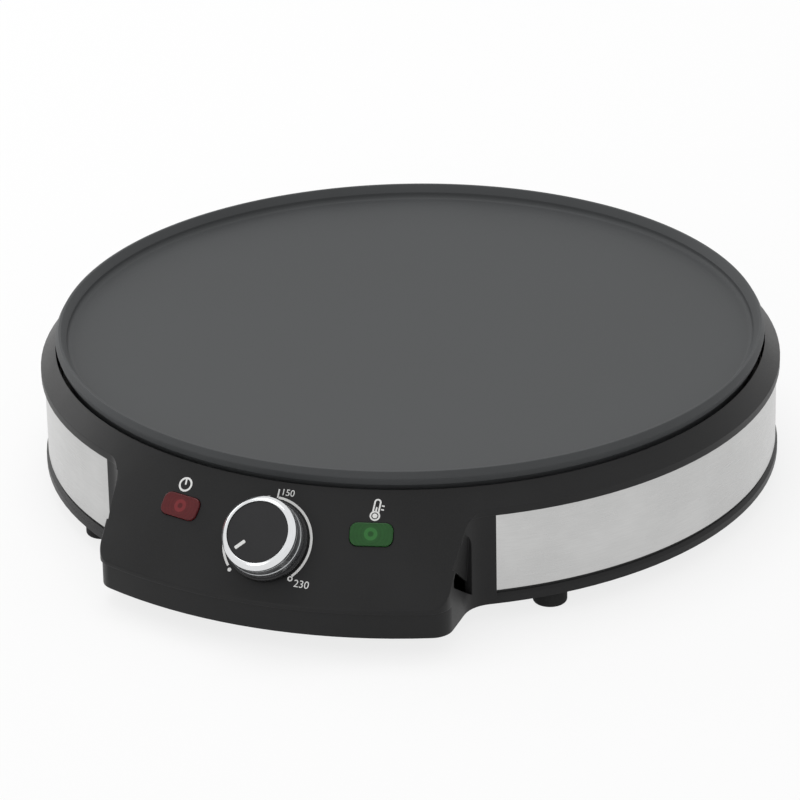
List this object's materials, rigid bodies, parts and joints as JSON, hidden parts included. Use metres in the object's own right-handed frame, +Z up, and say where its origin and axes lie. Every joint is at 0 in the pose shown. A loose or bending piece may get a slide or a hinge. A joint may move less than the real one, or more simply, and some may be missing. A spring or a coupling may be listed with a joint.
{
  "type": "electric crepe maker",
  "caption": "Round countertop electric crepe maker: rimmed hot plate on a black casing with steel side bands, a front console with control knob and indicator lamps, and feet.",
  "frame": {"origin": "middle of the overall footprint on the worktop, at the feet's undersides", "axes": "+Z up, -Y is the front with the console, +X to the right seen from the front"},
  "size_m": [0.3444, 0.38, 0.072],
  "materials": {
    "coated_aluminium": "dark grey non-stick coating on cast aluminium, satin",
    "casing_plastic": "black heat-resistant moulding, satin",
    "base_plastic": "black moulding, fine texture",
    "band_steel": "brushed stainless strip",
    "heater_sheath": "heat-tinted steel sheath",
    "ceramic": "steatite",
    "pin_steel": "plated steel",
    "shield_steel": "aluminised sheet",
    "screw_steel": "zinc-plated steel",
    "terminal_steel": "nickel-plated steel",
    "foot_rubber": "black silicone rubber",
    "label_metal": "bare satin plate",
    "knob_plastic": "black moulding",
    "knob_chrome": "bright chromed ring",
    "pointer_white": "white inlay",
    "spindle_steel": "turned steel",
    "thermostat_sheet": "plated sheet steel",
    "switch_moulding": "brown phenolic moulding",
    "brass_contact": "brass",
    "arm_bronze": "spring bronze",
    "copper_tube": "copper",
    "fuse_case": "drawn can",
    "clip_steel": "sheet steel",
    "red_window": "red tinted clear moulding",
    "green_window": "green tinted clear moulding",
    "neon_glass": "neon lamp",
    "holder_plastic": "natural nylon",
    "gland_plastic": "black nylon",
    "clamp_plastic": "natural nylon",
    "live_insulation": "brown silicone insulation",
    "neutral_insulation": "blue silicone insulation",
    "earth_insulation": "green and yellow insulation",
    "switched_insulation": "black silicone insulation",
    "lead_insulation": "white glass-fibre sleeve"
  },
  "bodies": {
    "housing": {"base_cover": "base_plastic", "base_screws": "screw_steel", "bulb_clip": "clip_steel", "capillary_tube": "copper_tube", "clip_screws": "screw_steel", "cord_clamp": "clamp_plastic", "cord_clamp_screws": "screw_steel", "cord_gland": "gland_plastic", "earth_screw": "screw_steel", "earth_tag": "clip_steel", "earth_wire": "earth_insulation", "element_beads": "ceramic", "element_pins": "pin_steel", "foot_screws": "screw_steel", "front_left_foot": "foot_rubber", "front_right_foot": "foot_rubber", "fuse_clip": "clip_steel", "fuse_lead": "neutral_insulation", "green_lamp": "neon_glass", "green_lamp_holder": "holder_plastic", "green_lens": "green_window", "heat_shield": "shield_steel", "heating_element": "heater_sheath", "hot_plate": "coated_aluminium", "lamp_leads": "lead_insulation", "left_trim_band": "band_steel", "live_wire": "live_insulation", "neutral_wire": "neutral_insulation", "plate_screws": "screw_steel", "plate_spacers": "shield_steel", "rating_plate": "label_metal", "rear_left_foot": "foot_rubber", "rear_right_foot": "foot_rubber", "red_lamp": "neon_glass", "red_lamp_holder": "holder_plastic", "red_lens": "red_window", "right_trim_band": "band_steel", "sensor_bulb": "copper_tube", "switched_wire": "switched_insulation", "terminal_block": "clamp_plastic", "terminal_screws": "terminal_steel", "thermal_fuse": "fuse_case", "thermostat_blades": "brass_contact", "thermostat_frame": "thermostat_sheet", "thermostat_screws": "screw_steel", "thermostat_switch": "switch_moulding", "upper_casing": "casing_plastic"},
    "knob": {"knob_body": "knob_plastic", "knob_ring": "knob_chrome", "knob_cap": "knob_plastic", "knob_pointer": "pointer_white", "thermostat_spindle": "spindle_steel"},
    "adjuster": {"travelling_nut": "brass_contact"},
    "contact": {"contact_arm": "arm_bronze"}
  },
  "joints": [
    {"name": "knob_turn", "type": "hinge", "parent": "housing", "child": "knob", "pos_m": [0, -0.16861, 0.04361], "axis": [0, 0.7514, -0.6598], "range_deg": [0, 270]},
    {"name": "nut_slide", "type": "slide", "parent": "housing", "child": "adjuster", "axis": [0, 0.7514, -0.6598], "range_m": [0, 0.00076]},
    {"name": "contact_swing", "type": "hinge", "parent": "housing", "child": "contact", "pos_m": [-0.0095, -0.15418, 0.03094], "axis": [0, 0.6598, 0.7514], "range_deg": [0, 3], "stiffness_Nm_per_rad": 0.02, "springref_deg": -2.86}
  ],
  "couplings": [
    {"joint": "nut_slide", "follows": "knob_turn", "m_per_rad": 0.00015915}
  ]
}
